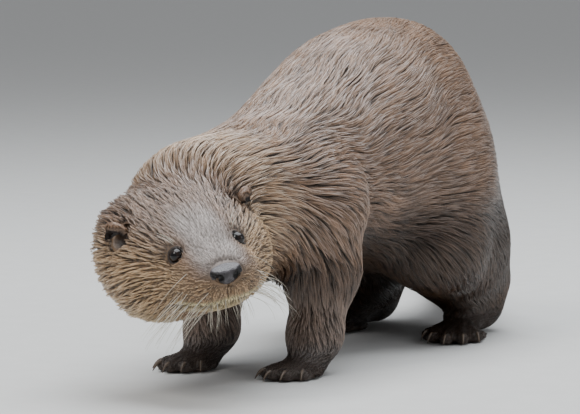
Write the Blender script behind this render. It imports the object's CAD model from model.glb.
"""A life-size museum model of a eurasian otter that walks with its head turned to its left.

Its shape is a field, worked in millimetres in the animal's own frame: it faces -Y, its left
side is +X and the floor is z = 0. The field is zero at the tips of the coat and below zero
inside. The skin lies inside it by the coat's depth, and the locks of the coat fill the rest.
"""
import math

import bpy
import numpy as np
from mathutils import Matrix, Vector
from mathutils.kdtree import KDTree


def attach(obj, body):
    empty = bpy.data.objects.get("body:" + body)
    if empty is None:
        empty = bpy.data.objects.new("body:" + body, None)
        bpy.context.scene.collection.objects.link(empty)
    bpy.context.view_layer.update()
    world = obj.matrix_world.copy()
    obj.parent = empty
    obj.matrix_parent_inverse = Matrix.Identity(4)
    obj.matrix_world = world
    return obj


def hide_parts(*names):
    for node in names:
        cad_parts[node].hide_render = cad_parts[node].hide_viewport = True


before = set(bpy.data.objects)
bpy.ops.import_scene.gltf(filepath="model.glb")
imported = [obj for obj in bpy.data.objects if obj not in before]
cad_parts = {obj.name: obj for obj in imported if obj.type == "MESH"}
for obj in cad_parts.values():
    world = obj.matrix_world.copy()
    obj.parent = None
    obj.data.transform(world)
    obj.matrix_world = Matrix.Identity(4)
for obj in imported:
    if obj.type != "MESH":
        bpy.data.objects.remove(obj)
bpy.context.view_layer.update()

# ---------- driving dimensions, millimetres and degrees ----------

MM = 0.001
MIDDLE = np.array([-57.2, 250.1, 0.0])  # the animal's place of the frame's origin
SEED = 11
LOWEST = 0.25  # nothing but the floor is lower
LOCKS = 138_000

HEAD = np.array([9.5, -151.0, 129.0])
HEAD_YAW, HEAD_PITCH, HEAD_ROLL = 49, -7, 12.8
EYE = np.array([24.0, -59.0, -4.2])
EYE_RADIUS = 5.8
SOCKET_SIZE = np.array([10.0, 12.0, 8.5])  # the dip round each eye
SOCKET_DEPTH = 2.0
NOSE = np.array([0.0, -92.5, -14.0])
NOSE_SIZE = np.array([24.0, 12.0, 16.0])
EAR = np.array([50.0, -3.0, 5.0])
EAR_SIZE = np.array([19.0, 9.0, 24.0])
EAR_TURN = 60
SIDES = ((1, "left"), (-1, "right"))

# y, middle x, middle z, half width, height above the middle, depth below it, squareness
SECTIONS = np.array([
    [-150, -11, 126, 44, 48, 52, 2],
    [-125, -11, 127, 54, 58, 55, 2],
    [-98, -7, 130, 59, 60, 63, 2],
    [-55, -2, 139, 62, 56, 71, 2],
    [0, -2, 150, 61, 54, 76, 2],
    [60, 0, 162, 66, 64, 80, 2.05],
    [120, 0, 172, 75, 78, 96, 2.15],
    [180, 0, 178, 82, 91, 110, 2.25],
    [235, 0, 178, 82, 98, 113, 2.25],
    [285, 0, 166, 71, 79, 96, 2.2],
    [325, -2, 140, 62, 68, 68, 2.15],
    [360, -6, 109, 53, 55, 52, 2.1],
    [400, -15, 73, 43, 41, 38, 2],
    [440, -28, 49, 36, 32, 32, 2],
    [490, -50, 30.5, 31, 27, 31, 2],
    [540, -78, 22.5, 26, 22, 24, 2],
    [600, -116, 17.5, 21, 18, 19, 2],
    [655, -156, 12.5, 16, 13, 14, 2],
    [700, -192, 8.5, 10, 8, 9.5, 2],
    [722, -211, 5, 5, 4, 6, 2],
])
TAIL_TIP = 724
TAIL_ROOT = 396

FORE = {
    "shoulder": (46, 8, 130), "elbow": (50, 14, 84), "wrist": (48, 2, 32), "palm": (49, -12, 13),
    "radii": {"shoulder": 42, "elbow": 27, "forearm": 25.5, "wrist": 20.5, "palm": 16},
    "angles": (-34, -16, 0, 15, 33), "lengths": (28, 38, 42, 39, 31), "root": 8, "tip": 5.8,
    "web": (22, 21, 5), "claw": 8.5,
}
HIND = {
    "hip": (34, 240, 142), "knee": (60, 206, 88), "haunch": (44, 278, 80), "hock": (53, 317, 43),
    "heel": (53, 312, 22), "foot": (56, 270, 13), "haunch_radii": (48, 60, 54),
    "radii": {"hip": 58, "knee": 42, "calf": 36, "hock": 21, "heel": 18.5, "foot": 15},
    "angles": (-27, -13, 0, 13, 27), "lengths": (44, 57, 63, 59, 47), "root": 9, "tip": 6.2,
    "web": (28, 31, 5.5), "claw": 7.5,
}
# side of the body, name, how far back the limb is set, turn of the paw
FORE_LIMBS = ((1, "left", 0, -14), (-1, "right", 6, 8))
HIND_LIMBS = ((1, "left", 0, 12), (-1, "right", 12, 10))

# ---------- frames ----------

HEAD_TURN = np.array(
    Matrix.Rotation(math.radians(HEAD_YAW), 3, "Z")
    @ Matrix.Rotation(math.radians(-HEAD_PITCH), 3, "X")
    @ Matrix.Rotation(math.radians(-HEAD_ROLL), 3, "Y"))


def to_head(p):
    return (p - HEAD) @ HEAD_TURN


def from_head(q):
    return np.asarray(q) @ HEAD_TURN.T + HEAD


def to_model(p):
    return (np.asarray(p) - MIDDLE) * MM


def to_animal(p):
    return np.asarray(p) / MM + MIDDLE


# ---------- blends ----------

def ease(value, low, high):
    t = np.clip((value - low) / (high - low), 0, 1)
    return t * t * (3 - 2 * t)


def blend(a, b, share):
    return a + (b - a) * share


def smooth_min(a, b, reach):
    h = np.maximum(reach - np.abs(a - b), 0) / reach
    return np.minimum(a, b) - h * h * reach / 4


def smooth_max(a, b, reach):
    return -smooth_min(-a, -b, reach)


def unit(v):
    return v / np.maximum(np.linalg.norm(v, axis=-1, keepdims=True), 1e-9)


def bell(x, power=2):
    """1 where x is 0, and almost nothing beyond 2. A higher power has a flatter top."""
    return np.exp(-(x ** power))


def turn_upright(angle):
    """A turn about the upright axis, in radians."""
    c, s = math.cos(angle), math.sin(angle)
    return np.array([[c, -s, 0], [s, c, 0], [0, 0, 1]])


# ---------- the animal's shape as fields ----------

FAR = 150.0  # the value given where a part is too far off to matter


def near(p, middle, radius, part):
    """part(p), worked only where p is near it."""
    value = np.full(len(p), FAR)
    close = ((p - np.asarray(middle, float)) ** 2).sum(1) < radius ** 2
    if close.any():
        value[close] = part(p[close])
    return value


def ellipsoid(p, centre, radii):
    q = p - np.asarray(centre, float)
    radii = np.asarray(radii, float)
    close = np.linalg.norm(q / radii, axis=1)
    slope = np.linalg.norm(q / radii ** 2, axis=1)
    return close * (close - 1) / np.maximum(slope, 1e-9)


def limb(p, start, end, start_radius, end_radius):
    start, end = np.asarray(start, float), np.asarray(end, float)
    axis = end - start
    t = np.clip((p - start) @ axis / (axis @ axis), 0, 1)
    away = p - start - t[:, None] * axis
    return np.linalg.norm(away, axis=1) - blend(start_radius, end_radius, ease(t, 0, 1))


def section_slopes():
    """How fast each column of SECTIONS changes there, for curves that don't overshoot."""
    rise = np.diff(SECTIONS, axis=0)
    span = rise[:, :1]
    rate = rise / span
    slopes = np.concatenate([rate[:1], rate[:1], rate[1:]])
    inner = (span[1:] * rate[:-1] + span[:-1] * rate[1:]) / (span[1:] + span[:-1])
    turning = rate[:-1] * rate[1:] <= 0
    slopes[1:-1] = np.where(turning, 0, inner)
    slopes[-1] = rate[-1]
    slopes[:, 0] = 1
    return slopes


SLOPES = section_slopes()


def section(y):
    """The trunk's and tail's measures at each y, on a smooth curve through SECTIONS."""
    at = np.clip(y, SECTIONS[0, 0], SECTIONS[-1, 0])
    i = np.clip(np.searchsorted(SECTIONS[:, 0], at) - 1, 0, len(SECTIONS) - 2)
    low, high = SECTIONS[i], SECTIONS[i + 1]
    span = high[:, :1] - low[:, :1]
    u = (at[:, None] - low[:, :1]) / span
    return ((1 + 2 * u) * (1 - u) ** 2 * low + u * (1 - u) ** 2 * span * SLOPES[i]
            + u * u * (3 - 2 * u) * high + u * u * (u - 1) * span * SLOPES[i + 1])


def share(p):
    """How far out across the trunk each point is, 1 at its side, and the trunk's radius that way."""
    s = section(p[:, 1])
    across, up = np.abs(p[:, 0] - s[:, 1]), p[:, 2] - s[:, 2]
    height = np.where(up > 0, s[:, 4], s[:, 5])
    value = ((across / s[:, 3]) ** s[:, 6] + (np.abs(up) / height) ** s[:, 6] + 1e-12) ** (1 / s[:, 6])
    return value, np.hypot(across, up) / np.maximum(value, 1e-3)


NECK_END = -132  # the trunk's rounded front end, inside the head
WEB_HEIGHT = 3.5


def spine(p):
    step = np.array([0, 1.5, 0])
    value, radius = share(p)
    slope = (share(p + step)[0] - share(p - step)[0]) / (2 * step[1]) * radius
    side = (value - 1) * radius / np.hypot(1, slope)
    return smooth_max(smooth_max(side, NECK_END - p[:, 1], 44), p[:, 1] - TAIL_TIP, 6)


HEAD_PARTS = (
    ((27, 34, -14), (28, 32, 31), 24),  # nape
    ((33, -5, -27), (32, 49, 33), 24),  # cheek
    ((18, -40, -3.5), (13, 19, 9.5), 14),  # brow
    ((0, -8, -42), (42, 44, 23), 26),  # throat
    ((18, -42, -31), (19, 32, 14), 18),  # jaw
    ((0, -60, -19), (26, 36, 21), 22),  # muzzle
    ((13.5, -76, -25), (16, 19, 14), 12),  # whisker pad
    ((0, -64, -37.5), (18, 24, 10.5), 12),  # chin
)


def head(p):
    def shape(p):
        q = to_head(p)
        q[:, 0] = np.abs(q[:, 0])
        value = ellipsoid(q, (0, 8, -9), (50, 63, 36.5))
        for centre, radii, reach in HEAD_PARTS:
            value = smooth_min(value, ellipsoid(q, centre, radii), reach)
        socket = np.linalg.norm((q - EYE) / SOCKET_SIZE, axis=1)
        return value + SOCKET_DEPTH * bell(socket)
    return near(p, from_head((0, -10, -15)), 150, shape)


def placed(joint, side, back):
    """A joint's place on one side of the body, set back by some millimetres."""
    return np.array([side * joint[0], joint[1] + back, joint[2]], float)


def shoulders(p):
    value = np.full(len(p), FAR)
    for side, _, back, _ in FORE_LIMBS:
        top, low = placed(FORE["shoulder"], side, back), placed(FORE["elbow"], side, back)
        radii = FORE["radii"]
        one = near(p, top, 170, lambda p: limb(p, top, low, radii["shoulder"], radii["elbow"]))
        value = smooth_min(value, one, 20)
    return value


def haunches(p):
    value = np.full(len(p), FAR)
    for side, _, back, _ in HIND_LIMBS:
        hip, knee, seat = (placed(HIND[name], side, back) for name in ("hip", "knee", "haunch"))
        radii = HIND["radii"]
        one = near(p, seat, 200, lambda p: smooth_min(
            limb(p, hip, knee, radii["hip"], radii["knee"]),
            ellipsoid(p, seat, HIND["haunch_radii"]), 36))
        value = smooth_min(value, one, 30)
    return value


def toe_direction(shape, i, turn, side):
    angle = math.radians((shape["angles"][i] + turn) * side)
    return np.array([math.sin(angle), -math.cos(angle), 0.0])


def paw(p, shape, base, turn, side):
    """The toes and the web between them."""
    value = np.full(len(p), FAR)
    for i, length in enumerate(shape["lengths"]):
        out = toe_direction(shape, i, turn, side)
        root = np.array([base[0], base[1], 9.0]) + out * 6
        tip = np.array([base[0], base[1], shape["tip"] - 0.8]) + out * length
        value = smooth_min(value, limb(p, root, tip, shape["root"], shape["tip"]), 3)
    angle = math.radians(turn * side)
    middle = base + np.array([math.sin(angle), -math.cos(angle), 0]) * shape["web"][1] * 0.75
    middle[2] = WEB_HEIGHT
    web = ellipsoid((p - middle) @ turn_upright(angle), (0, 0, 0), shape["web"])
    return smooth_min(value, web, 4)


def forelegs(p):
    value = np.full(len(p), FAR)
    radii = FORE["radii"]
    for side, _, back, turn in FORE_LIMBS:
        elbow, wrist, palm = (placed(FORE[name], side, back) for name in ("elbow", "wrist", "palm"))
        one = near(p, wrist, 120, lambda p: smooth_min(smooth_min(
            limb(p, elbow, wrist, radii["forearm"], radii["wrist"]),
            limb(p, wrist, palm, radii["wrist"] - 0.5, radii["palm"]), 14),
            paw(p, FORE, palm, turn, side), 6))
        value = smooth_min(value, one, 8)
    return value


def hindlegs(p):
    value = np.full(len(p), FAR)
    radii = HIND["radii"]
    for side, _, back, turn in HIND_LIMBS:
        knee, hock, heel, foot = (placed(HIND[n], side, back) for n in ("knee", "hock", "heel", "foot"))
        one = near(p, foot, 160, lambda p: smooth_min(smooth_min(
            smooth_min(limb(p, knee, hock, radii["calf"], radii["hock"]),
                       limb(p, hock, heel, radii["hock"], radii["heel"]), 20),
            limb(p, heel, foot, radii["heel"] - 4, radii["foot"]), 16),
            paw(p, HIND, foot, turn, side), 6))
        value = smooth_min(value, one, 8)
    return value


def parts(p):
    return {"spine": spine(p), "shoulders": shoulders(p), "haunches": haunches(p),
            "forelegs": forelegs(p), "hindlegs": hindlegs(p), "head": head(p)}


def coat_tips(p, part=None):
    """The field of the whole animal out to the tips of its coat."""
    part = part or parts(p)
    trunk = smooth_min(part["spine"], smooth_min(part["shoulders"], part["haunches"], 20), 36)
    lower = smooth_min(part["forelegs"], part["hindlegs"], 10)
    value = smooth_min(smooth_min(trunk, lower, 20), part["head"], 16)
    return smooth_max(value, -p[:, 2], 1.5)


def gradient(field, p, step=0.25):
    here = field(p)
    slopes = [field(p + step * axis) - here for axis in np.eye(3)]
    return here, np.stack(slopes, 1) / step


def settle(field, p, rounds=3, most=3.0):
    """Moves points onto a field's zero along its slope, and gives the outward directions there."""
    p = p.copy()
    for _ in range(rounds):
        here, slope = gradient(field, p)
        steep = np.maximum((slope ** 2).sum(1), 0.05)
        move = np.clip(here / np.sqrt(steep), -most, most) / np.sqrt(steep)
        p -= move[:, None] * slope
    return p, unit(slope)


# ---------- where each kind of coat is ----------

def regions(p, part=None):
    """How much each point belongs to the head, the limbs, the paws and the tail, 0 to 1."""
    part = part or parts(p)
    body = np.minimum(part["spine"], np.minimum(part["shoulders"], part["haunches"]))
    low = np.minimum(part["forelegs"], part["hindlegs"])
    on_head = ease(np.minimum(body, low) - part["head"], -9, 9)
    return {
        "head": on_head,
        "limb": ease(body - low, -12, 10) * (1 - on_head),
        "fore": ease(part["hindlegs"] - part["forelegs"], -5, 5),
        "shoulder": ease(part["spine"] - part["shoulders"], -22, 12) * (1 - on_head),
        "haunch": ease(part["spine"] - part["haunches"], -22, 12),
        "paw": ease(p[:, 2], 34, 16) * ease(body - low, -6, 4),
        "tail": ease(p[:, 1], TAIL_ROOT - 30, TAIL_ROOT + 60),
    }


def coat_depth(p, where):
    """How far the skin lies inside the coat's tips."""
    q = to_head(p)
    on_face = np.interp(q[:, 1], (-95, -80, -58, -30, 10, 50), (0.7, 0.9, 1.1, 1.6, 2.8, 4.0))
    side = ease(np.abs(q[:, 0]), 16, 36) * ease(q[:, 1], -66, -30) * 1.4
    under_jaw = ease(q[:, 2], -25, -50) * ease(q[:, 1], -70, -20) * 1.6
    body = blend(4.2, np.interp(p[:, 1], (400, 560, 700, 724), (4.2, 3.6, 2.6, 2)), where["tail"])
    on_limb = np.interp(p[:, 2], (0, 12, 30, 70, 120), (0.6, 0.9, 1.6, 3.0, 4.2))
    depth = blend(body, on_limb, np.maximum(where["limb"], where["paw"]))
    depth = blend(depth, on_face + side + under_jaw, where["head"])
    return depth * ease(p[:, 2], -0.5, 4)


# ---------- the skin's own details ----------

SOLE_HEIGHT = 0.6

# The mouth's line: distance from the middle, height in the head's frame
LIP_LINE = ((0, 6, 11, 18, 25, 31, 36), (-38.0, -38.6, -39.0, -38.8, -38.6, -38.0, -37.5))
MOUTH_CORNER_Y = -60
NOSE_PAD = NOSE - (0, 0.5, 2.4)  # how the soft pad sits against the plain one
NOSE_TOP_SLOPE = (0.90, 0.42)  # up and back parts of the slope of the pad's flat top
LID_FORWARD, LID_RADIUS, LID_THICK = 2.4, 5.45, 1.0
EYE_LOOK = np.array([0.62, -0.68, 0.36])


def eye_frame(side):
    """The eye's middle and the direction that it looks, in the head's frame."""
    return EYE * (side, 1, 1), unit(EYE_LOOK * (side, 1, 1))


def face_details(q, value):
    """Lids, lips, the fold under the nose, and the seat of the nose pad, on the head's skin."""
    side_x = np.abs(q[:, 0])
    front = ease(q[:, 1], MOUTH_CORNER_Y + 6, MOUTH_CORNER_Y - 8)
    lip = np.interp(side_x, *LIP_LINE)
    line = bell((q[:, 2] - lip) / 0.9)
    lower = ease(q[:, 2], lip + 0.6, lip - 2.2) * ease(q[:, 2], lip - 14, lip - 5)
    value = value + front * (1.5 * line + 1.5 * lower)
    philtrum = bell(side_x) * ease(q[:, 2], -22, -25) * ease(q[:, 2], -40, -37)
    value = value + 1.1 * philtrum * ease(q[:, 1], -78, -84)
    seat = ellipsoid(q, NOSE_PAD + (0, -1.5, 0), NOSE_SIZE / 2 - (1.8, -1.0, 1.4))
    value = smooth_max(value, -seat, 1.2)
    upward, backward = NOSE_TOP_SLOPE
    level = (q[:, 2] - NOSE_PAD[2] - 3.9) * upward - (q[:, 1] - NOSE_PAD[1] + 4) * backward
    level = level - 12 * ease(q[:, 1], NOSE_PAD[1] + 5, NOSE_PAD[1] + 13) - 12 * ease(side_x, 11, 18)
    value = smooth_max(value, level, 1.5)
    for side in (1, -1):
        middle, look = eye_frame(side)
        away = q - middle
        ahead = away @ look
        out = np.linalg.norm(away - ahead[:, None] * look, axis=1)
        up = away[:, 2] / np.maximum(out, 1e-6)
        thick = LID_THICK * (1 + 0.35 * np.clip(up, 0, 1))
        lid = np.hypot(out - LID_RADIUS, ahead - LID_FORWARD) - thick
        value = smooth_min(value, lid, 3.2)
        fold = np.hypot(out - LID_RADIUS - 3.2, ahead - LID_FORWARD + 0.8)
        value = value + 0.55 * bell(fold / 0.9)
        pocket = np.maximum(out - LID_RADIUS + 0.55, 1.0 - ahead)
        value = smooth_max(value, -pocket, 0.7)
    return value


def skin_field(p, fine=False):
    """The field of the skin. Its fine form has the lids, lips and the nose pad's seat too."""
    part = parts(p)
    where = regions(p, part)
    tips = coat_tips(p, part)
    depth = coat_depth(p, where)
    value = smooth_max(tips + depth, SOLE_HEIGHT - p[:, 2], 1.0)
    if fine:
        q = to_head(p)
        close = (where["head"] > 0.4) & (q[:, 1] < 0)
        if close.any():
            value[close] = face_details(q[close], value[close])
    for side in (1, -1):
        value = value + EAR_PIT * ease(ear_hole(p, side), 1.04, 0.80)
    return value


def nostril(q):
    """The comma of a nostril on the pad's left, in the pad's frame."""
    hole = ellipsoid(q, (6.8, -5.8, -1.6), (3.2, 5.0, 2.9))
    slit = limb(q, (8.2, -5.2, -0.6), (12.2, -1.6, 3.0), 1.9, 1.1)
    return smooth_min(hole, slit, 1.2)


def nose_field(p):
    """The nose pad with its nostrils, the notches under them and the groove between."""
    q = to_head(p) - NOSE_PAD
    side_x = np.abs(q[:, 0])
    q = np.stack([side_x, q[:, 1], q[:, 2]], 1)
    value = ellipsoid(q, (0, 0.5, 0), (11.6, 6.6, 7.8))
    value = smooth_min(value, ellipsoid(q, (7.9, -0.8, 0.8), (4.4, 5.0, 5.2)), 2.5)
    value = smooth_min(value, ellipsoid(q, (0, -2.0, -5.2), (3.6, 3.6, 3.4)), 2.0)
    upward, backward = NOSE_TOP_SLOPE
    top = (q[:, 2] - 4.0) * upward - (q[:, 1] + 4) * backward
    value = smooth_max(value, top, 1.2)
    value = smooth_max(value, -nostril(q), 0.7)
    notch = ellipsoid(q, (6.4, -5, -8.4), (2.8, 6.5, 2.2))
    value = smooth_max(value, -notch, 1.5)
    groove = bell(side_x / 0.6) * ease(q[:, 2], 0, -4)
    return value + 0.45 * groove


EAR_SWELL = (1.2, 1.6, 1.0)  # the soft ear starts as the plain one, swollen by this
EAR_PIT = 9  # how deep the skin is sunk where an ear stands
EAR_SET = np.array([1.8, -6.2, -0.6])  # how the soft ear sits against the plain one
EAR_FRONT = 2.6  # the ear's bowl starts from a flat front this far back


def ear_spin(side):
    return turn_upright(math.radians(side * EAR_TURN))


def to_ear(p, side):
    return (to_head(p) - (EAR + EAR_SET) * (side, 1, 1)) @ ear_spin(side)


def from_ear(q, side):
    return from_head(q @ ear_spin(side).T + (EAR + EAR_SET) * (side, 1, 1))


def ear_hole(p, side):
    """How far out from the ear's middle a point is, seen along the ear: 1 is the opening's edge."""
    q = to_ear(p, side)
    return np.hypot(q[:, 0] / 9.6, q[:, 2] / 7.7) + ease(np.abs(q[:, 1]), 16, 22)


def ear_bowl(q):
    """The hollow of the ear, in the ear's own frame."""
    return ellipsoid(q, (0, -3.4, 0.6), (10.0, 6.4, 7.9))


def ear_field(side):
    """The field of one ear: a flap on a root, hollowed by its bowl, with a fold across it."""
    def field(p):
        q = to_ear(p, side)
        flap = ellipsoid(q, (0, -1.5, 1.0), EAR_SIZE / 2 + (3.0, 1.8, -0.2))
        root = ellipsoid(q, (-1.5 * side, 4.0, -2.0), (10.5, 7.5, 9.0))
        fold = limb(q, (-5.0, 0.2, -5.5), (4.0, -0.8, -3.4), 1.5, 1.0)
        cup = smooth_max(smooth_min(flap, root, 3), -ear_bowl(q), 0.9)
        return smooth_min(cup, fold, 1.2)
    return field


# ---------- meshes ----------

def only(thing):
    """Selects one object alone and makes it the active one."""
    bpy.ops.object.select_all(action="DESELECT")
    thing.select_set(True)
    bpy.context.view_layer.objects.active = thing
    return thing


def read_points(mesh):
    co = np.empty(len(mesh.vertices) * 3, np.float32)
    mesh.vertices.foreach_get("co", co)
    return co.reshape(-1, 3).astype(float)


def write_points(mesh, points):
    mesh.vertices.foreach_set("co", np.asarray(points, np.float32).ravel())
    mesh.update()


def shade_smooth(mesh):
    mesh.polygons.foreach_set("use_smooth", np.ones(len(mesh.polygons), bool))


def add_values(mesh, name, values):
    """Stores a value for each point of a mesh: one number, or four as a colour."""
    values = np.ascontiguousarray(values, np.float32)
    kind, key = ("FLOAT", "value") if values.ndim == 1 else ("FLOAT_COLOR", "color")
    mesh.attributes.new(name, kind, "POINT").data.foreach_set(key, values.ravel())


def new_object(name, data):
    thing = bpy.data.objects.new(name, data)
    bpy.context.scene.collection.objects.link(thing)
    return thing


def edit(operation, **settings):
    """Runs one operation of edit mode on the active mesh."""
    bpy.ops.object.mode_set(mode="EDIT")
    operation(**settings)
    bpy.ops.object.mode_set(mode="OBJECT")


def edit_all(operation, **settings):
    """Runs one operation of edit mode on all of the active mesh."""
    edit(bpy.ops.mesh.select_all, action="SELECT")
    edit(operation, **settings)


def apply(thing, kind, **settings):
    made = thing.modifiers.new(kind.title(), kind)
    for key, value in settings.items():
        setattr(made, key, value)
    bpy.ops.object.modifier_apply(modifier=made.name)


SKIN_VOXEL, FINE_VOXEL = 3.2, 0.55
SWELL = 1.0  # neighbouring solids are swollen by this, so that they overlap and join


def flesh_of(name, nodes, voxel):
    """One closed mesh round copies of the CAD nodes, in even faces about a voxel across."""
    bpy.ops.object.select_all(action="DESELECT")
    copies = []
    for node in nodes:
        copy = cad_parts[node].copy()
        copy.data = copy.data.copy()
        copy.parent = None
        bpy.context.scene.collection.objects.link(copy)
        copy.select_set(True)
        copies.append(copy)
    thing = copies[0]
    bpy.context.view_layer.objects.active = thing
    if len(copies) > 1:
        bpy.ops.object.join()
    for key in list(thing.keys()):
        del thing[key]
    thing.name = thing.data.name = name
    thing.hide_render = False
    edit_all(bpy.ops.mesh.remove_doubles, threshold=1e-5)
    if len(copies) > 1:
        apply(thing, "DISPLACE", strength=SWELL * MM, mid_level=0.0)
    apply(thing, "REMESH", mode="VOXEL", voxel_size=voxel * MM, adaptivity=0)
    edit_all(bpy.ops.mesh.separate, type="LOOSE")
    pieces = sorted(bpy.context.selected_objects, key=lambda piece: -len(piece.data.vertices))
    for crumb in pieces[1:]:
        bpy.data.objects.remove(crumb)
    thing = only(pieces[0])
    thing.name = name
    thing.data.materials.clear()
    return thing


EVENING = 0.5  # how far a point moves toward the middle of its neighbours


def relax(points, edges, rounds):
    """Evens out points along the surface: each one moves toward the middle of its neighbours."""
    count = np.bincount(edges.ravel(), minlength=len(points))[:, None]
    for _ in range(rounds):
        total = np.zeros_like(points)
        for k in range(3):
            total[:, k] = (np.bincount(edges[:, 0], points[edges[:, 1], k], len(points))
                           + np.bincount(edges[:, 1], points[edges[:, 0], k], len(points)))
        points = blend(points, total / np.maximum(count, 1), EVENING)
    return points


def edges_of(mesh):
    edges = np.empty(len(mesh.edges) * 2, np.int32)
    mesh.edges.foreach_get("vertices", edges)
    return edges.reshape(-1, 2)


def fit_to(thing, field, rounds=4, smoothing=2, chosen=None):
    """Lays a mesh's points evenly onto a field."""
    points = to_animal(read_points(thing.data))
    edges = edges_of(thing.data)
    chosen = np.ones(len(points), bool) if chosen is None else chosen(points)
    for again in range(smoothing + 1):
        if again:
            points[chosen] = relax(points, edges, 2)[chosen]
        points[chosen], _ = settle(field, points[chosen], rounds if again == 0 else 2)
    points[:, 2] = np.maximum(points[:, 2], LOWEST)
    write_points(thing.data, to_model(points))


FACE_END, FACE_MIDDLE, FACE_REACH = 8, (0, -40, -18), 75
FACE_ROUNDS = 2  # times that the faces on the face are halved


def on_face(p):
    """Whether each point is on the front of the head."""
    q = to_head(p)
    return (q[:, 1] < FACE_END) & (np.linalg.norm(q - FACE_MIDDLE, axis=1) < FACE_REACH)


def refine_face(thing):
    """More faces on the front of the head, where the lids and lips are."""
    points = to_animal(read_points(thing.data))
    chosen = on_face(points)
    only(thing)
    edit(bpy.ops.mesh.select_mode, type="VERT")
    edit(bpy.ops.mesh.select_all, action="DESELECT")
    thing.data.vertices.foreach_set("select", chosen)
    edit(bpy.ops.mesh.subdivide, number_cuts=1, smoothness=0)


FLESH = ["head", "neck", "chest", "belly", "rump", "tail_root", "tail_middle", "tail_end"] + [
    f"{kind}_{name}" for kind in ("foreleg", "forepaw", "hindleg", "hindpaw") for _, name in SIDES]


def make_skin():
    """One skin for all the flesh, with finer faces on the face."""
    skin = flesh_of("skin", FLESH, SKIN_VOXEL)
    fit_to(skin, skin_field)
    for _ in range(FACE_ROUNDS):
        refine_face(skin)
        fit_to(skin, lambda p: skin_field(p, fine=True), rounds=3, smoothing=1, chosen=on_face)
    shade_smooth(skin.data)
    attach(skin, "root")
    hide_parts(*FLESH)
    return skin


def make_nose():
    """The nose pad, with how far inside a nostril each point is."""
    nose = flesh_of("nose_pad", ["nose"], FINE_VOXEL)
    fit_to(nose, nose_field, smoothing=1)
    q = to_head(to_animal(read_points(nose.data))) - NOSE_PAD
    q[:, 0] = np.abs(q[:, 0])
    add_values(nose.data, "inside", ease(nostril(q), 0.9, -0.1))
    shade_smooth(nose.data)
    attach(nose, "root")
    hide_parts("nose")
    return nose


def make_ears():
    """Both ears, with how far inside its bowl each point is."""
    ears = []
    for side, name in SIDES:
        ear = flesh_of(f"ear_flap_{name}", [f"ear_{name}"], FINE_VOXEL)
        plain = to_head(to_animal(read_points(ear.data))) - EAR * (side, 1, 1)
        q = plain @ ear_spin(side) * EAR_SWELL
        hole = ear_hole(from_ear(q, side), side)
        q[:, 1] = blend(q[:, 1], EAR_FRONT, ease(hole, 1.05, 0.85) * (q[:, 1] < 0.5))
        write_points(ear.data, to_model(from_ear(q, side)))
        fit_to(ear, ear_field(side), smoothing=1)
        shade_smooth(ear.data)
        depth = ear_bowl(to_ear(to_animal(read_points(ear.data)), side))
        add_values(ear.data, "inside", ease(depth, 2.2, 0.2))
        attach(ear, "root")
        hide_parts(f"ear_{name}")
        ears.append(ear)
    return ears


CORNEA_BULGE, CORNEA_FROM, CORNEA_TO = 0.055, 0.72, 0.98  # the last two are cosines from the look


def make_eyes():
    """Both eyeballs, each with a bulging cornea turned the way that the eye looks."""
    eyes = []
    for side, name in SIDES:
        bpy.ops.object.select_all(action="DESELECT")
        middle = to_model(from_head(EYE * (side, 1, 1)))
        bpy.ops.mesh.primitive_uv_sphere_add(segments=48, ring_count=32, radius=EYE_RADIUS * MM)
        eye = bpy.context.active_object
        eye.name = f"eyeball_{name}"
        points = read_points(eye.data) / (EYE_RADIUS * MM)
        look = Vector(HEAD_TURN @ eye_frame(side)[1])
        turn = np.array(Vector((0, 0, 1)).rotation_difference(look).to_matrix())
        bulge = 1 + CORNEA_BULGE * ease(points[:, 2], CORNEA_FROM, CORNEA_TO)
        points = points * bulge[:, None] * EYE_RADIUS * MM
        write_points(eye.data, points @ turn.T + middle)
        shade_smooth(eye.data)
        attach(eye, "root")
        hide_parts(f"eye_{name}")
        eyes.append((eye, side))
    return eyes


# ---------- the coat: its lie, its sizes and its markings over the skin ----------

def waves(p, size, seed, count=7):
    """A smooth uneven value over space, about -1 to 1, whose swells are about size across."""
    rng = np.random.default_rng(seed)
    total = np.zeros(len(p))
    for _ in range(count):
        direction = unit(rng.normal(size=3)) * math.tau / size * rng.uniform(0.6, 1.5)
        total += np.sin(p @ direction + rng.uniform(0, math.tau))
    return total / math.sqrt(count)


def turn_about(v, axis, angle):
    """Turns tangent vectors about unit axes that they are square to."""
    return v * np.cos(angle)[:, None] + np.cross(axis, v) * np.sin(angle)[:, None]


def mixed(a, b, share):
    return a + (np.asarray(b, float) - a) * np.asarray(share)[:, None]


def lie_on_head(q):
    """Back from the nose, parting round the eyes and sweeping down over the cheeks."""
    v = unit(q - (0, -108, -14)) + (0, 0.7, 0)
    side_x = np.abs(q[:, 0])
    cheek = ease(side_x, 12, 38) * ease(q[:, 1], -70, -25)
    v[:, 2] -= 0.55 * cheek * ease(q[:, 2], 8, -22)
    lip = ease(q[:, 1], -55, -70) * ease(q[:, 2], -22, -36)
    v[:, 2] -= 0.9 * lip
    for side in (1, -1):
        away = q - eye_frame(side)[0]
        v += unit(away) * (1.6 * bell(np.linalg.norm(away, axis=1) / 9.5))[:, None]
    return v @ HEAD_TURN.T


# How steeply the coat rises to the back, by place along the body: at the top of the back, half
# way up the side and at the belly
RISE_AT = (-120, -40, 15, 90, 170, 235, 300, 380)
RISES = ((0.15, 0.3, 0.4, 0.5, 0.4, 0.0, -0.6, -0.8),
         (-0.1, -0.35, -0.25, 0.22, 0.3, 0.0, -0.5, -0.8),
         (-0.4, -0.9, -0.9, -0.15, 0.02, -0.25, -0.8, -0.8))


LIE_STEP = 6  # the trunk's run is read this far ahead and behind


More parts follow.
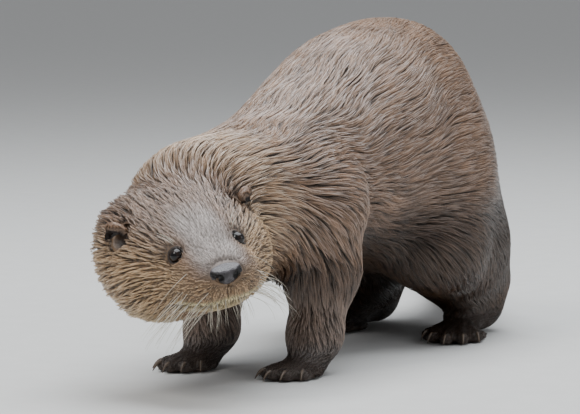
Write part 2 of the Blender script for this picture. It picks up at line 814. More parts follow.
def lie_of_coat(p, normal, where):
    """The way that the coat lies at each point: along the trunk, down the limbs, back over the head."""
    s = section(p[:, 1])
    ahead, behind = section(p[:, 1] + LIE_STEP), section(p[:, 1] - LIE_STEP)
    height = np.clip((p[:, 2] - s[:, 2]) / np.where(p[:, 2] > s[:, 2], s[:, 4], s[:, 5]), -1, 1)
    top, middle, low = (np.interp(p[:, 1], RISE_AT, row) for row in RISES)
    rise = np.where(height > 0, blend(middle, top, height), blend(middle, low, -height))
    run = (ahead - behind) / (2 * LIE_STEP)
    rise = blend(rise, run[:, 2], where["tail"])
    v = unit(np.stack([run[:, 1], np.ones(len(p)), rise], 1))
    v = mixed(v, (0, 0.30, -0.95), 0.8 * where["shoulder"] * ease(p[:, 2], 165, 105))
    v = mixed(v, (0, 0.62, -0.75), 0.6 * where["haunch"] * ease(p[:, 2], 150, 90))
    down = np.where(where["fore"][:, None] > 0.5, (0, 0.22, -1.0), (0, 0.55, -0.8))
    v = mixed(v, down, where["limb"] * ease(p[:, 2], 10, 34))
    v = mixed(v, (0, -1.0, -0.25), where["paw"] * ease(p[:, 2], 34, 20))
    v = mixed(v, lie_on_head(to_head(p)), where["head"])
    v = unit(v - (v * normal).sum(1, keepdims=True) * normal)
    wander = 0.16 * waves(p, 60, 3) + 0.10 * waves(p, 20, 4)
    return turn_about(v, normal, wander * (1 - 0.6 * where["head"]) * (1 - 0.6 * where["paw"]))


def lock_length(p, where):
    """The length of a lock: short on the face and feet, longest on the trunk."""
    q = to_head(p)
    face = np.interp(q[:, 1], (-98, -82, -60, -35, 0, 40), (2.2, 3.6, 4.6, 7.5, 13, 19))
    ruff = ease(q[:, 2], -18, -44) * ease(q[:, 1], -66, -15)
    cheek = ease(np.abs(q[:, 0]), 18, 40) * ease(q[:, 1], -62, -30)
    face = face + 5 * ruff + 3 * cheek
    for side in (1, -1):
        face = face * blend(0.3, 1, ease(ear_hole(p, side), 1.2, 2.6))
    body = 29 - 6 * ease(p[:, 2], 225, 270) + 2 * waves(p, 50, 9)
    body = blend(body, np.interp(p[:, 1], (400, 560, 700, 724), (20, 15, 9, 6)), where["tail"])
    on_limb = np.interp(p[:, 2], (0, 10, 22, 45, 90, 130), (1.8, 2.6, 5, 10, 16, 22))
    length = blend(body, on_limb, np.maximum(where["limb"], where["paw"]))
    return blend(length, face, where["head"])


def bare(p, where):
    """Where no locks grow: eyes, nose pad, lips, soles and the webs' edges."""
    q = to_head(p)
    gone = p[:, 2] < 1.6
    for side in (1, -1):
        gone |= np.linalg.norm(q - eye_frame(side)[0], axis=1) < EYE_RADIUS + 1.5
        gone |= ear_hole(p, side) < 1.1
    gone |= np.linalg.norm((q - NOSE_PAD) / (12.6, 9.5, 8.6), axis=1) < 1
    lip = np.abs(q[:, 2] - np.interp(np.abs(q[:, 0]), *LIP_LINE))
    gone |= (lip < 0.8) & (q[:, 1] < MOUTH_CORNER_Y) & (where["head"] > 0.5)
    return gone


def markings(p, where):
    """Shares of pale, grey, dark and tan coat at each point."""
    q = to_head(p)
    on_head = where["head"]
    side_x = np.abs(q[:, 0])
    lip = np.interp(side_x, *LIP_LINE)
    front = ease(side_x, 35, 28)
    margin = ease(q[:, 2], lip + 5.6, lip + 3.6) * ease(q[:, 2], lip - 1.5, lip) * front
    chin = 0.55 * ease(q[:, 2], lip + 0.5, lip - 2) * ease(q[:, 1], -45, -62) * front
    throat = 0.25 * ease(q[:, 2], -30, -52) * ease(q[:, 1], -55, -30) * ease(q[:, 1], 45, 0)
    pale = on_head * np.clip((margin + chin) * ease(q[:, 1], -52, -64) + throat, 0, 1)
    bridge = ease(side_x, 25, 10) * ease(q[:, 2], -22, -6) * ease(q[:, 1], -10, -46)
    bridge = np.maximum(bridge, 0.25 * ease(side_x, 45, 20) * ease(q[:, 2], -14, 6) * ease(q[:, 1], 60, 20))
    grey = np.maximum(on_head * bridge, 0.8 * where["paw"] + 0.35 * where["limb"] * where["fore"])
    s = section(p[:, 1])
    under = ease(s[:, 2] - 0.35 * s[:, 5] - p[:, 2], -12, 40)
    rear = ease(p[:, 1], 185, 310) * ease(p[:, 2], 250, 140)
    dark = np.clip(0.9 * under + 1.0 * rear + 0.3 * where["tail"], 0, 1) * (1 - on_head)
    dark = blend(dark, 0.8 - 0.5 * where["fore"], where["limb"] * (1 - where["paw"]))
    nose_edge = bell(np.linalg.norm((q - NOSE_PAD) / (14, 9, 11), axis=1), 4)
    pad = ease(q[:, 1], -60, -68) * ease(q[:, 2], lip + 19, lip + 15) * ease(side_x, 7, 11)
    rows = np.cos((q[:, 2] - lip) * math.tau / 4.0) * np.cos((q[:, 1] + 0.4 * q[:, 2]) * math.tau / 5.0)
    whisker_pad = pad * ease(rows, 0.2, 0.7)
    from_eyes = [np.linalg.norm(q - eye_frame(side)[0], axis=1) / 8.2 for side in (1, -1)]
    socket = sum(bell(away, 4) for away in from_eyes)
    lips = bell(q[:, 2] - lip) * ease(q[:, 1], -52, -64)
    ears = sum(ease(ear_hole(p, side), 1.05, 0.9) for side in (1, -1))
    face = np.clip(0.4 * nose_edge + 0.6 * socket + 0.75 * whisker_pad, 0, 1) * (1 - pale)
    dark = blend(dark, np.clip(face + lips + ears, 0, 1), on_head)
    cheek = ease(side_x, 16, 36) * ease(q[:, 2], 14, -12) * ease(q[:, 1], 75, 30)
    nape = ease(p[:, 1], -40, -110) * (1 - on_head)
    snout = 0.7 * ease(q[:, 1], -55, -68) * ease(q[:, 2], -12, -22)
    tan = np.clip(on_head * np.maximum(cheek, snout) + 0.45 * nape, 0, 1)
    return np.stack([pale, grey, dark, tan], 1)


def wetness(p, where):
    """How far the coat is drawn into separate wet locks, 0 to 1."""
    q = to_head(p)
    bridge = ease(np.abs(q[:, 0]), 30, 14) * ease(q[:, 2], -20, -4) * ease(q[:, 1], -5, -40)
    face = blend(1.0, 0.75, ease(q[:, 1], -50, -75))
    face = blend(face, 0.12, bridge)
    arch = ease(p[:, 2], 185, 250) * ease(p[:, 1], 130, 200)
    body = np.interp(p[:, 1], (-100, 60, 160, 260, 400), (1.0, 0.95, 0.7, 0.5, 0.6))
    body = blend(body, 0.3, arch)
    return blend(blend(body, 0.9, where["limb"]), face, where["head"])


# The flat map's patches, each a size and a corner: head, trunk with tail, and the first limb
HEAD_PATCH = (0.46, 0.40), (0.02, 0.57)
TRUNK_PATCH = (0.94, 0.50), (0.02, 0.02)
LIMB_PATCH = (0.11, 0.40), (0.50, 0.57)
LIMB_PATCH_STEP = 0.12
MAP_START, MAP_LENGTH = -150, 880  # the trunk's patch along y
LIMB_MAP_HEIGHT, LIMB_MAP_LENGTH = 70, 220  # a limb's patch, from the toes up
HEAD_MAP_MIDDLE = (0, -30, -22)
LOCK_PATCH = 0.003  # a lock's own size on the map


def around(x, y):
    """The angle about an axis as 0 to 1."""
    return np.arctan2(x, y) / math.tau + 0.5


def unwrap(p, where):
    """A flat map of the skin: head, trunk with tail, and four limbs, each opened out on its own patch."""
    q = unit(to_head(p) - HEAD_MAP_MIDDLE)
    rise = np.arcsin(np.clip(q[:, 2], -1, 1)) / math.pi + 0.5
    size, corner = HEAD_PATCH
    uv = np.stack([around(q[:, 0], -q[:, 1]), rise], 1) * size + corner
    s = section(p[:, 1])
    round_trunk = around(p[:, 0] - s[:, 1], p[:, 2] - s[:, 2])
    size, corner = TRUNK_PATCH
    trunk_map = np.stack([(p[:, 1] - MAP_START) / MAP_LENGTH, round_trunk], 1) * size + corner
    uv = np.where(where["head"][:, None] > 0.5, uv, trunk_map)
    size, corner = LIMB_PATCH
    limbs = [(FORE_LIMBS, FORE, "palm", True), (HIND_LIMBS, HIND, "foot", False)]
    column = 0
    for rows, shape, joint, fore in limbs:
        for side, _, back, _ in rows:
            foot = placed(shape[joint], side, back)
            away = p - foot
            reach = np.hypot(away[:, 0], away[:, 1])
            along = np.clip((p[:, 2] + LIMB_MAP_HEIGHT - reach) / LIMB_MAP_LENGTH, 0, 1)
            own = (where["limb"] + where["paw"] > 0.5) & (where["head"] < 0.5)
            own &= (p[:, 0] * side > 0) & ((where["fore"] > 0.5) == fore)
            patch = np.stack([around(away[:, 0], -away[:, 1]), along], 1) * size
            patch += (corner[0] + LIMB_PATCH_STEP * column, corner[1])
            uv[own] = patch[own]
            column += 1
    return uv


# ---------- the coat's locks ----------

RINGS = (0.0, 0.3, 0.66, 1.0)  # places along a lock, from its root to its tip
RING_WIDTHS = (0.75, 1.0, 0.7, 0.0)
LOCK_SPREAD = 0.118  # half a lock's width is this times its length to the power below
LOCK_POWER = 0.45
LEAST_HALF_WIDTH = 0.24
LIFT_POWERS = (3.0, 3.2)  # how soon a lock gathers in, and how soon it lifts
CROWDING = 0.55
CLUMP = 3.8  # locks that gather into one ridge
CHAIN = 4  # how many ridges ahead a lock can reach
RIDGE_STEP = 0.85  # how far ahead a ridge joins the next one, as a share of a lock's length
RIDGE_GAP = 1.7  # and the least, as a share of the space between ridges
ROOT_DEPTH = 0.3  # how far below the skin a lock starts
CREST, EDGE = 0.80, -0.25  # a lock's height at its crest and edges, as a share of half its width
SWING, TWIST = 0.14, 0.6  # the most that locks lie apart and roll, radians
GATHER_DRY, GATHER_WET = 0.22, 0.48  # how far a lock is drawn in to its ridge
STANDING = 0.3  # the share of ridges on the head that stand up


class Locks:
    """The roots of the locks on one piece and what its survey says at each of them."""

    def __init__(self, thing, count, survey, seed):
        mesh = thing.data
        mesh.calc_loop_triangles()
        points = to_animal(read_points(mesh))
        normals = np.empty(len(points) * 3, np.float32)
        mesh.vertices.foreach_get("normal", normals)
        normals = normals.reshape(-1, 3).astype(float)
        corners = np.empty(len(mesh.loop_triangles) * 3, np.int32)
        mesh.loop_triangles.foreach_get("vertices", corners)
        corners = corners.reshape(-1, 3)
        told = survey(points, normals)
        a, b, c = (points[corners[:, k]] for k in range(3))
        area = np.linalg.norm(np.cross(b - a, c - a), axis=1) / 2
        weight = np.cumsum(area * told["crowd"][corners].min(1))
        rng = np.random.default_rng(seed)
        at = (np.arange(count) + rng.random(count)) / count * weight[-1]
        face = np.searchsorted(weight, at)
        u, v = rng.random((2, count))
        over = u + v > 1
        u[over], v[over] = 1 - u[over], 1 - v[over]
        share = np.stack([1 - u - v, u, v], 1)
        used = corners[face]

        def at_roots(values):
            return (values[used] * (share if values.ndim == 1 else share[:, :, None])).sum(1)

        self.rng = rng
        self.root = at_roots(points)
        self.normal = unit(at_roots(normals))
        self.lie = unit(at_roots(told["lie"]))
        self.depth, self.marks = at_roots(told["depth"]), at_roots(told["marks"])
        self.length, self.wet = at_roots(told["length"]), at_roots(told["wet"])
        self.where = {key: at_roots(value) for key, value in told["where"].items()}
        self.spacing = np.sqrt(CLUMP * weight[-1] / count / np.maximum(at_roots(told["crowd"]), 1e-6))

    def ridges(self):
        """The ridges that locks gather into: the lock that heads each ridge, its step to the next
        one along the lie, each lock's own ridge, and the chain of ridges that follow each one."""
        count = len(self.root)
        heads = self.rng.permutation(count)[: int(count / CLUMP)]
        tree = KDTree(len(heads))
        for n, i in enumerate(heads):
            tree.insert(self.root[i], n)
        tree.balance()
        ridge = np.fromiter((tree.find(p)[1] for p in self.root), np.int64, count)
        step = np.maximum(RIDGE_STEP * self.length, RIDGE_GAP * self.spacing)[heads]
        ahead = self.root[heads] + self.lie[heads] * step[:, None]
        follow = np.fromiter((tree.find(p)[1] for p in ahead), np.int64, len(heads))
        chain = [np.arange(len(heads))]
        for _ in range(CHAIN):
            chain.append(follow[chain[-1]])
        return heads, step, ridge, np.array(chain)


def survey_body(points, normals):
    """What the coat over the skin is like at each point."""
    where = regions(points, parts(points))
    lengths = lock_length(points, where)
    width = LOCK_SPREAD * lengths ** LOCK_POWER
    crowd = (lengths * width) ** -CROWDING * (1 - bare(points, where))
    crowd *= 1 - 0.45 * ease(-normals[:, 2], 0.3, 0.9) * (1 - where["head"])
    return {"crowd": crowd, "lie": lie_of_coat(points, normals, where),
            "depth": coat_depth(points, where), "marks": markings(points, where),
            "length": lengths, "wet": wetness(points, where), "where": where}


def survey_ear(side):
    """Short hair on the ear's back and rim, swept up and back."""
    def survey(points, normals):
        q = to_ear(points, side)
        shown = (ear_bowl(q) > 0.6) & (coat_tips(points) > -4)
        sweep = np.array([0.0, -0.2, 1.0]) @ ear_spin(side).T @ HEAD_TURN.T
        lie = unit(sweep - (normals @ sweep)[:, None] * normals)
        where = regions(points)
        plain = np.ones(len(points))
        marks = markings(points, where) * (0, 1, 0.4, 0.3)
        return {"crowd": shown.astype(float), "lie": lie, "depth": plain, "marks": marks,
                "length": 5 * plain, "wet": 0.6 * plain, "where": where}
    return survey


def at_level(points, level):
    """Moves points out or in to where the field of the coat's tips has the given level."""
    here, slope = gradient(coat_tips, points)
    steep = np.maximum((slope ** 2).sum(1), 0.2)
    points = points + ((level - here) / steep)[:, None] * slope
    here = coat_tips(points)
    points = points + ((level - here) / steep)[:, None] * slope
    return points, unit(slope)


def comb(locks, flat):
    """The middle line of every lock: for each ring its points and outward directions. Also one
    number for each lock's whole ridge and one for the lock itself."""
    rng = locks.rng
    count = len(locks.root)
    heads, step, ridge, chain = locks.ridges()
    value = rng.random(len(heads))
    order = value[chain].mean(0).argsort().argsort() / len(heads)
    mood = order[ridge]  # one number for a whole ridge
    own = rng.random(count)
    on_head = locks.where["head"]
    length = locks.length * (0.70 + 0.25 * mood + 0.35 * own)
    lie = turn_about(locks.lie, locks.normal, (own - 0.5) * SWING)
    top = 1 - (0.20 + 0.22 * locks.wet) * rng.random(count) ** 1.2
    standing = (rng.random(len(heads)) < STANDING)[ridge] * on_head * ease(to_head(locks.root)[:, 1], -50, -5)
    top = top + 0.5 * standing * rng.random(count)
    lean = GATHER_DRY + GATHER_WET * locks.wet
    path = locks.root[heads]
    behind = ((locks.root - path[ridge]) * locks.lie).sum(1)

    def on_ridge(reach):
        at = (reach + behind) / step[ridge]
        k = np.clip(np.floor(at), 0, len(chain) - 2).astype(int)
        return mixed(path[chain[k, ridge]], path[chain[k + 1, ridge]], at - k)

    gather_power, lift_power = LIFT_POWERS
    rings = [(locks.root - locks.normal * ROOT_DEPTH, locks.normal)]
    for t in RINGS[1:]:
        points = locks.root + lie * (length * t)[:, None]
        points = mixed(points, on_ridge(length * t), lean * (1 - (1 - t) ** gather_power))
        lift = top * (1 - (1 - t) ** lift_power)
        if flat or t < 0.5:
            rings.append((points + locks.normal * (locks.depth * lift)[:, None], locks.normal))
        else:
            rings.append(at_level(points, -locks.depth * (1 - lift)))
    return rings, mood, own


def locks_mesh(locks, flat=False):
    """The points of every lock, three for each ring and a tip, and where they are along and
    across it. Also comb's two numbers for each lock."""
    rings, mood, own = comb(locks, flat)
    count = len(locks.root)
    half = np.maximum(LOCK_SPREAD * locks.length ** LOCK_POWER, LEAST_HALF_WIDTH) * (0.7 + 0.6 * own)
    twist = (locks.rng.random(count) - 0.5) * TWIST
    points, runs = [], []
    lines = [ring[0] for ring in rings]
    for i, t in enumerate(RINGS[:-1]):
        out = rings[i][1]
        along = unit(lines[i + 1] - lines[max(i - 1, 0)])
        side = unit(np.cross(out, along))
        ridge = np.cross(along, side)
        side = side * np.cos(twist)[:, None] + ridge * np.sin(twist)[:, None]
        wide = (half * RING_WIDTHS[i])[:, None]
        for across in (-1, 0, 1):
            height = CREST if across == 0 else EDGE
            points.append(lines[i] + side * wide * across + ridge * wide * height)
            runs.append((t, (across + 1) / 2))
    points.append(lines[-1])
    runs.append((1.0, 0.5))
    points = np.stack(points, 1)
    points[:, :, 2] = np.maximum(points[:, :, 2], LOWEST)
    return points, np.array(runs), mood, own


def lock_corners():
    """The corners of one lock's faces: four-sided between rings and two triangles at the tip."""
    faces = []
    for ring in (0, 3):
        for k in (0, 1):
            faces.append([ring + k, ring + k + 1, ring + k + 4, ring + k + 3])
    faces += [[6, 7, 9], [7, 8, 9]]
    return faces


def locks_object(name, chosen, points, runs, mood, own, locks):
    """One object with the chosen locks."""
    count, per_lock = int(chosen.sum()), points.shape[1]
    faces = lock_corners()
    corners = np.concatenate(faces)
    sizes = np.array([len(face) for face in faces])
    mesh = bpy.data.meshes.new(name)
    mesh.vertices.add(count * per_lock)
    mesh.vertices.foreach_set("co", to_model(points[chosen]).astype(np.float32).ravel())
    mesh.loops.add(count * len(corners))
    first = np.arange(count)[:, None] * per_lock
    mesh.loops.foreach_set("vertex_index", (first + corners).astype(np.int32).ravel())
    mesh.polygons.add(count * len(faces))
    starts = np.arange(count)[:, None] * len(corners) + np.concatenate([[0], np.cumsum(sizes)[:-1]])
    mesh.polygons.foreach_set("loop_start", starts.astype(np.int32).ravel())
    mesh.update(calc_edges=True)
    shade_smooth(mesh)
    spread = np.broadcast_to(runs, (count, per_lock, 2))
    each = np.stack([mood[chosen], own[chosen]], 1)[:, None, :]
    lock = np.concatenate([spread, np.broadcast_to(each, spread.shape)], 2)
    add_values(mesh, "lock", lock)
    add_values(mesh, "marks", np.broadcast_to(locks.marks[chosen][:, None, :], (count, per_lock, 4)))
    add_values(mesh, "wet", np.repeat(locks.wet[chosen], per_lock))
    patch = locks.spot[chosen][:, None, :] + (runs[corners][:, ::-1] - 0.5) * LOCK_PATCH
    mesh.uv_layers.new(name="OFBake").data.foreach_set("uv", patch.astype(np.float32).ravel())
    return new_object(name, mesh)


TRUNK_PARTS = (("neck", -400, -66), ("chest", -66, 100), ("belly", 100, 225), ("rump", 225, TAIL_ROOT))
PAW_TOP = 26  # the paws' coat ends at this height
EAR_LOCKS = LOCKS // 110


def make_coat(skin):
    """The locks over the skin, in a piece for each part of the body."""
    locks = Locks(skin, LOCKS, survey_body, SEED)
    locks.spot = unwrap(locks.root, locks.where)
    points, runs, mood, own = locks_mesh(locks)
    where, root = locks.where, locks.root
    on_head = where["head"] > 0.5
    on_limb = ~on_head & (np.maximum(where["limb"], where["paw"]) > 0.5)
    on_tail = ~on_head & ~on_limb & (root[:, 1] > TAIL_ROOT)
    on_trunk = ~on_head & ~on_limb & ~on_tail
    groups = [("coat_tail", on_tail, "tail_coat")]
    for side, name in SIDES:
        here = root[:, 0] * side > 0
        face = to_head(root)[:, 0] * side > 0
        groups.append((f"coat_head_{name}", on_head & face, "head_coat"))
        for part, start, end in TRUNK_PARTS:
            part_here = on_trunk & here & (root[:, 1] > start) & (root[:, 1] <= end)
            groups.append((f"coat_{part}_{name}", part_here, "body_coat"))
        for kind, fore in (("fore", True), ("hind", False)):
            limb_here = on_limb & here & ((where["fore"] > 0.5) == fore)
            groups.append((f"coat_{kind}leg_{name}", limb_here & (root[:, 2] > PAW_TOP), "leg_coat"))
            groups.append((f"coat_{kind}paw_{name}", limb_here & (root[:, 2] <= PAW_TOP), "paw_coat"))
    coats = []
    for name, chosen, slot in groups:
        coat = locks_object(name, chosen, points, runs, mood, own, locks)
        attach(coat, "root")
        coats.append(coat)
    return coats


def make_ear_coat(ear, side, name):
    """The short hair on one ear. Its map is a strip between the trunk's patch and the others."""
    locks = Locks(ear, EAR_LOCKS, survey_ear(side), SEED + side)
    q = to_ear(locks.root, side)
    strip = around(q[:, 0], q[:, 1]) * 0.4 + (0.05 if side > 0 else 0.5)
    locks.spot = np.stack([strip, (q[:, 2] + 15) / 30 * 0.03 + 0.53], 1)
    points, runs, mood, own = locks_mesh(locks, flat=True)
    coat = locks_object(f"coat_ear_{name}", np.ones(len(points), bool), points, runs, mood, own, locks)
    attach(coat, "root")
    return coat


def mark_skin(skin):
    """Gives the skin the same markings as the coat."""
    points = to_animal(read_points(skin.data))
    where = regions(points)
    add_values(skin.data, "marks", markings(points, where))
    add_values(skin.data, "wet", wetness(points, where))


# ---------- whiskers and claws ----------

WHISKER_SIDES, WHISKER_RINGS = 3, 8
WHISKER_TIP, WHISKER_TAPER = 0.04, 0.19  # radius at the tip, and how much more at the root
CLAW_SIDES, CLAW_RINGS = 10, 9
CLAW_TIP, CLAW_TAPER, CLAW_FLATNESS = 0.28, 1.9, 0.72


def rod_mesh(name, rods, sides):
    """One mesh of tapering rods. Each is its middle points, its radii there and a flatness."""
    points, faces = [], []
    for middles, radii, flat in rods:
        first = sum(len(block) for block in points)
        along = unit(np.gradient(middles, axis=0))
        side = unit(np.cross(along, (0.13, 0.21, 0.97)))
        up = np.cross(side, along)
        angles = np.arange(sides) * math.tau / sides
        across, over = np.cos(angles)[None, :, None], np.sin(angles)[None, :, None]
        ring = side[:, None] * across * flat + up[:, None] * over
        points.append((middles[:, None] + ring * radii[:, None, None]).reshape(-1, 3))
        rows = len(middles)
        for i in range(rows - 1):
            for k in range(sides):
                a, b = first + i * sides + k, first + i * sides + (k + 1) % sides
                faces.append((a, b, b + sides, a + sides))
        faces.append(tuple(first + k for k in range(sides))[::-1])
        faces.append(tuple(first + (rows - 1) * sides + k for k in range(sides)))
    mesh = bpy.data.meshes.new(name)
    mesh.from_pydata(to_model(np.concatenate(points)).tolist(), [], faces)
    shade_smooth(mesh)
    mesh.update()
    return new_object(name, mesh)


# place in the head's frame, spread of the place, start and end direction, length, count
WHISKER_BEDS = (
    ((17, -80, -29), (5, 7, 5), (0.80, -0.10, -0.45), (0.55, 0.35, -0.80), 44, 20),  # upper lip
    ((23, -68, -33), (3, 6, 4), (0.85, 0.15, -0.50), (0.45, 0.55, -0.75), 48, 12),  # lip corner
    ((9, -86, -34), (6, 2, 2), (0.25, -0.25, -0.95), (0.15, 0.20, -1.0), 24, 7),  # front of the lip
    ((8, -78, -45), (5, 6, 2), (0.15, -0.20, -1.0), (0.10, 0.35, -0.95), 18, 5),  # chin
    ((23, -54, 6), (3, 3, 2), (0.45, 0.0, 0.85), (0.6, 0.65, 0.35), 17, 4),  # brow
)


def make_whiskers():
    """All the whiskers as one piece, each curving from its start to its end direction."""
    rng = np.random.default_rng(SEED + 5)
    rods = []
    for place, spread, start, end, length, count in WHISKER_BEDS:
        for side in (1, -1):
            for _ in range(count):
                q = np.array(place) + np.array(spread) * rng.uniform(-1, 1, 3)
                root = settle(skin_field, from_head(q * (side, 1, 1))[None], 6)[0][0]
                start_v = unit(np.array(start) + rng.normal(0, 0.13, 3)) * (side, 1, 1)
                end_v = unit(np.array(end) + rng.normal(0, 0.16, 3)) * (side, 1, 1)
                t = np.linspace(0, 1, WHISKER_RINGS)[:, None]
                reach = length * rng.uniform(0.65, 1.1)
                path = (start_v * t + (end_v - start_v) * t * t * 0.6) * reach
                middles = root + path @ HEAD_TURN.T
                middles[:, 2] = np.maximum(middles[:, 2], 2)
                rods.append((middles, WHISKER_TIP + WHISKER_TAPER * (1 - t[:, 0]) ** 0.7, 1.0))
    whiskers = rod_mesh("whiskers", rods, WHISKER_SIDES)
    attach(whiskers, "root")
    return whiskers


def make_claws():
    """A curved, narrow claw for each toe, in place of the plain one."""
    claws = []
    for kind, rows, shape, joint in (("fore", FORE_LIMBS, FORE, "palm"), ("hind", HIND_LIMBS, HIND, "foot")):
        for side, name, back, turn in rows:
            base = placed(shape[joint], side, back)
            for i, toe in enumerate(shape["lengths"]):
                out = toe_direction(shape, i, turn, side)
                t = np.linspace(0, 1, CLAW_RINGS)
                reach = shape["claw"] + 2
                forward = toe + shape["tip"] - 4.5 + t * reach
                middles = base * (1, 1, 0) + out * forward[:, None]
                arch, drop = 1.2 * np.sin(t * math.pi * 0.8), (shape["tip"] + 0.9) * t ** 2.2
                middles[:, 2] = shape["tip"] + 1.6 + arch - drop
                rod = (middles, CLAW_TAPER * (1 - t) ** 0.75 + CLAW_TIP, CLAW_FLATNESS)
                claw = rod_mesh(f"claw_{kind}_{name}_{i + 1}", [rod], CLAW_SIDES)
                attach(claw, "root")
                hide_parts(f"{kind}claw_{name}_{i + 1}")
                claws.append(claw)
    return claws


# ---------- materials: a small language for shader nodes ----------

class Wire:
    """A socket's value. Sums written with it become Math nodes."""

    def __init__(self, shade, socket):
        self.shade, self.socket = shade, socket

    def math(self, operation, *others):
        values = [self, *others]
        return self.shade.node("ShaderNodeMath", {"operation": operation}, dict(enumerate(values)))

    def __add__(self, other):
        return self.math("ADD", other)

    __radd__ = __add__

    def __mul__(self, other):
        return self.math("MULTIPLY", other)

    __rmul__ = __mul__

    def __sub__(self, other):
        return self.math("SUBTRACT", other)

    def __rsub__(self, other):
        return self.shade.node("ShaderNodeMath", {"operation": "SUBTRACT"}, {0: other, 1: self})

    def __pow__(self, other):
        return self.math("POWER", other)


class Shade:
    """One material, built from the values of its nodes."""

    def __init__(self, name):
        self.material = bpy.data.materials.new(name)
        self.material.use_nodes = True
        self.tree = self.material.node_tree
        self.shader = self.tree.nodes["Principled BSDF"]

    def feed(self, socket, value):
        if isinstance(value, Wire):
            self.tree.links.new(value.socket, socket)
        elif isinstance(value, tuple) and socket.type == "RGBA":
            socket.default_value = (*value, 1)
        else:
            socket.default_value = value

    def node(self, kind, settings=None, inputs=None, output=0):
        made = self.tree.nodes.new(kind)
        for key, value in (settings or {}).items():
            setattr(made, key, value)
        for key, value in (inputs or {}).items():
            self.feed(made.inputs[key], value)
        return Wire(self, made.outputs[output])

    def place(self):
        return self.node("ShaderNodeTexCoord", output="Object")

    def turned(self, place, location=(0, 0, 0), rotation=(0, 0, 0), scale=(1, 1, 1)):
        return self.node("ShaderNodeMapping", None, {
            "Vector": place, "Location": location, "Rotation": rotation, "Scale": scale})

    def attribute(self, name, output="Fac"):
        return self.node("ShaderNodeAttribute", {"attribute_name": name}, output=output)

    def channel_of(self, wire, name):
        return self.node("ShaderNodeSeparateXYZ", None, {0: wire}, name)

    def channels(self, name):
        split = self.node("ShaderNodeSeparateColor", None, {0: self.attribute(name, "Color")})
        return [Wire(self, out) for out in split.socket.node.outputs] + [self.attribute(name, "Alpha")]

    def measure(self, operation, vector):
        """The DISTANCE or DOT_PRODUCT of each place on the piece with one vector."""
        return self.node("ShaderNodeVectorMath", {"operation": operation}, {
            0: self.place(), 1: tuple(vector)}, "Value")

    def vector(self, x, y, z):
        return self.node("ShaderNodeCombineXYZ", None, {0: x, 1: y, 2: z})

    def noise(self, place, scale, detail=2, roughness=0.5, distortion=0):
        return self.node("ShaderNodeTexNoise", None, {
            "Vector": place, "Scale": scale, "Detail": detail, "Roughness": roughness,
            "Distortion": distortion})

    def cells(self, place, scale, output="Distance", feature="F1"):
        return self.node("ShaderNodeTexVoronoi", {"feature": feature}, {
            "Vector": place, "Scale": scale}, output)

    def between(self, value, low, high, to_low=0, to_high=1):
        """Eases from to_low to to_high as the value goes from low to high."""
        return self.node("ShaderNodeMapRange", {"interpolation_type": "SMOOTHSTEP"}, {
            "Value": value, "From Min": low, "From Max": high, "To Min": to_low, "To Max": to_high})

    def mix(self, share, a, b, blend_type="MIX"):
        return self.node("ShaderNodeMix", {"data_type": "RGBA", "blend_type": blend_type}, {
            0: share, 6: a, 7: b}, 2)

    def bump(self, height, distance, strength=1.0, normal=None):
        inputs = {"Height": height, "Distance": distance, "Strength": strength}
        if normal:
            inputs["Normal"] = normal
        return self.node("ShaderNodeBump", None, inputs)

    def finish(self, color=None, roughness=None, normal=None, constants=None):
        for name, value in (("Base Color", color), ("Roughness", roughness), ("Normal", normal)):
            if value is not None:
                self.feed(self.shader.inputs[name], value)
        for name, value in (constants or {}).items():
            self.shader.inputs[name].default_value = value
        return self.material


# ---------- materials ----------

def tone(*levels):
    """A colour given as 0 to 255 levels of a screen, as the shader's linear light."""
    return tuple(((v / 255 + 0.055) / 1.055) ** 2.4 for v in levels)


PALE, GREY, DARK, TAN, BROWN = (
    tone(214, 198, 152), tone(170, 160, 154), tone(46, 26, 6), tone(184, 148, 106), tone(126, 95, 70))


GLINT = tone(206, 200, 198)  # the sky's light on wet tips
WARM_TIP = tone(238, 214, 172)
BARE_SKIN = tone(50, 38, 30)
LID_SKIN = tone(30, 22, 20)
LID_EDGES = (0.0080, 0.0066)  # metres from the eye's middle, where the lid's skin starts and is full
IRIS_INNER, IRIS_OUTER = (0.0021, 0.0026), (0.0049, 0.0042)  # metres from the pupil's middle


def marked_color(shade):
    """The coat's colour from its markings, a little uneven from place to place."""
    pale, grey, dark, tan = shade.channels("marks")
    patchy = shade.noise(shade.place(), 38, detail=3)
    darker, lighter = (tuple(level * v for v in BROWN) for level in (0.86, 1.14))
    color = shade.mix(shade.between(patchy, 0.3, 0.7), darker, lighter)
    color = shade.mix(tan * 0.85, color, TAN)
    color = shade.mix(grey, color, GREY)
    color = shade.mix(dark, color, DARK)
    return shade.mix(pale, color, PALE)


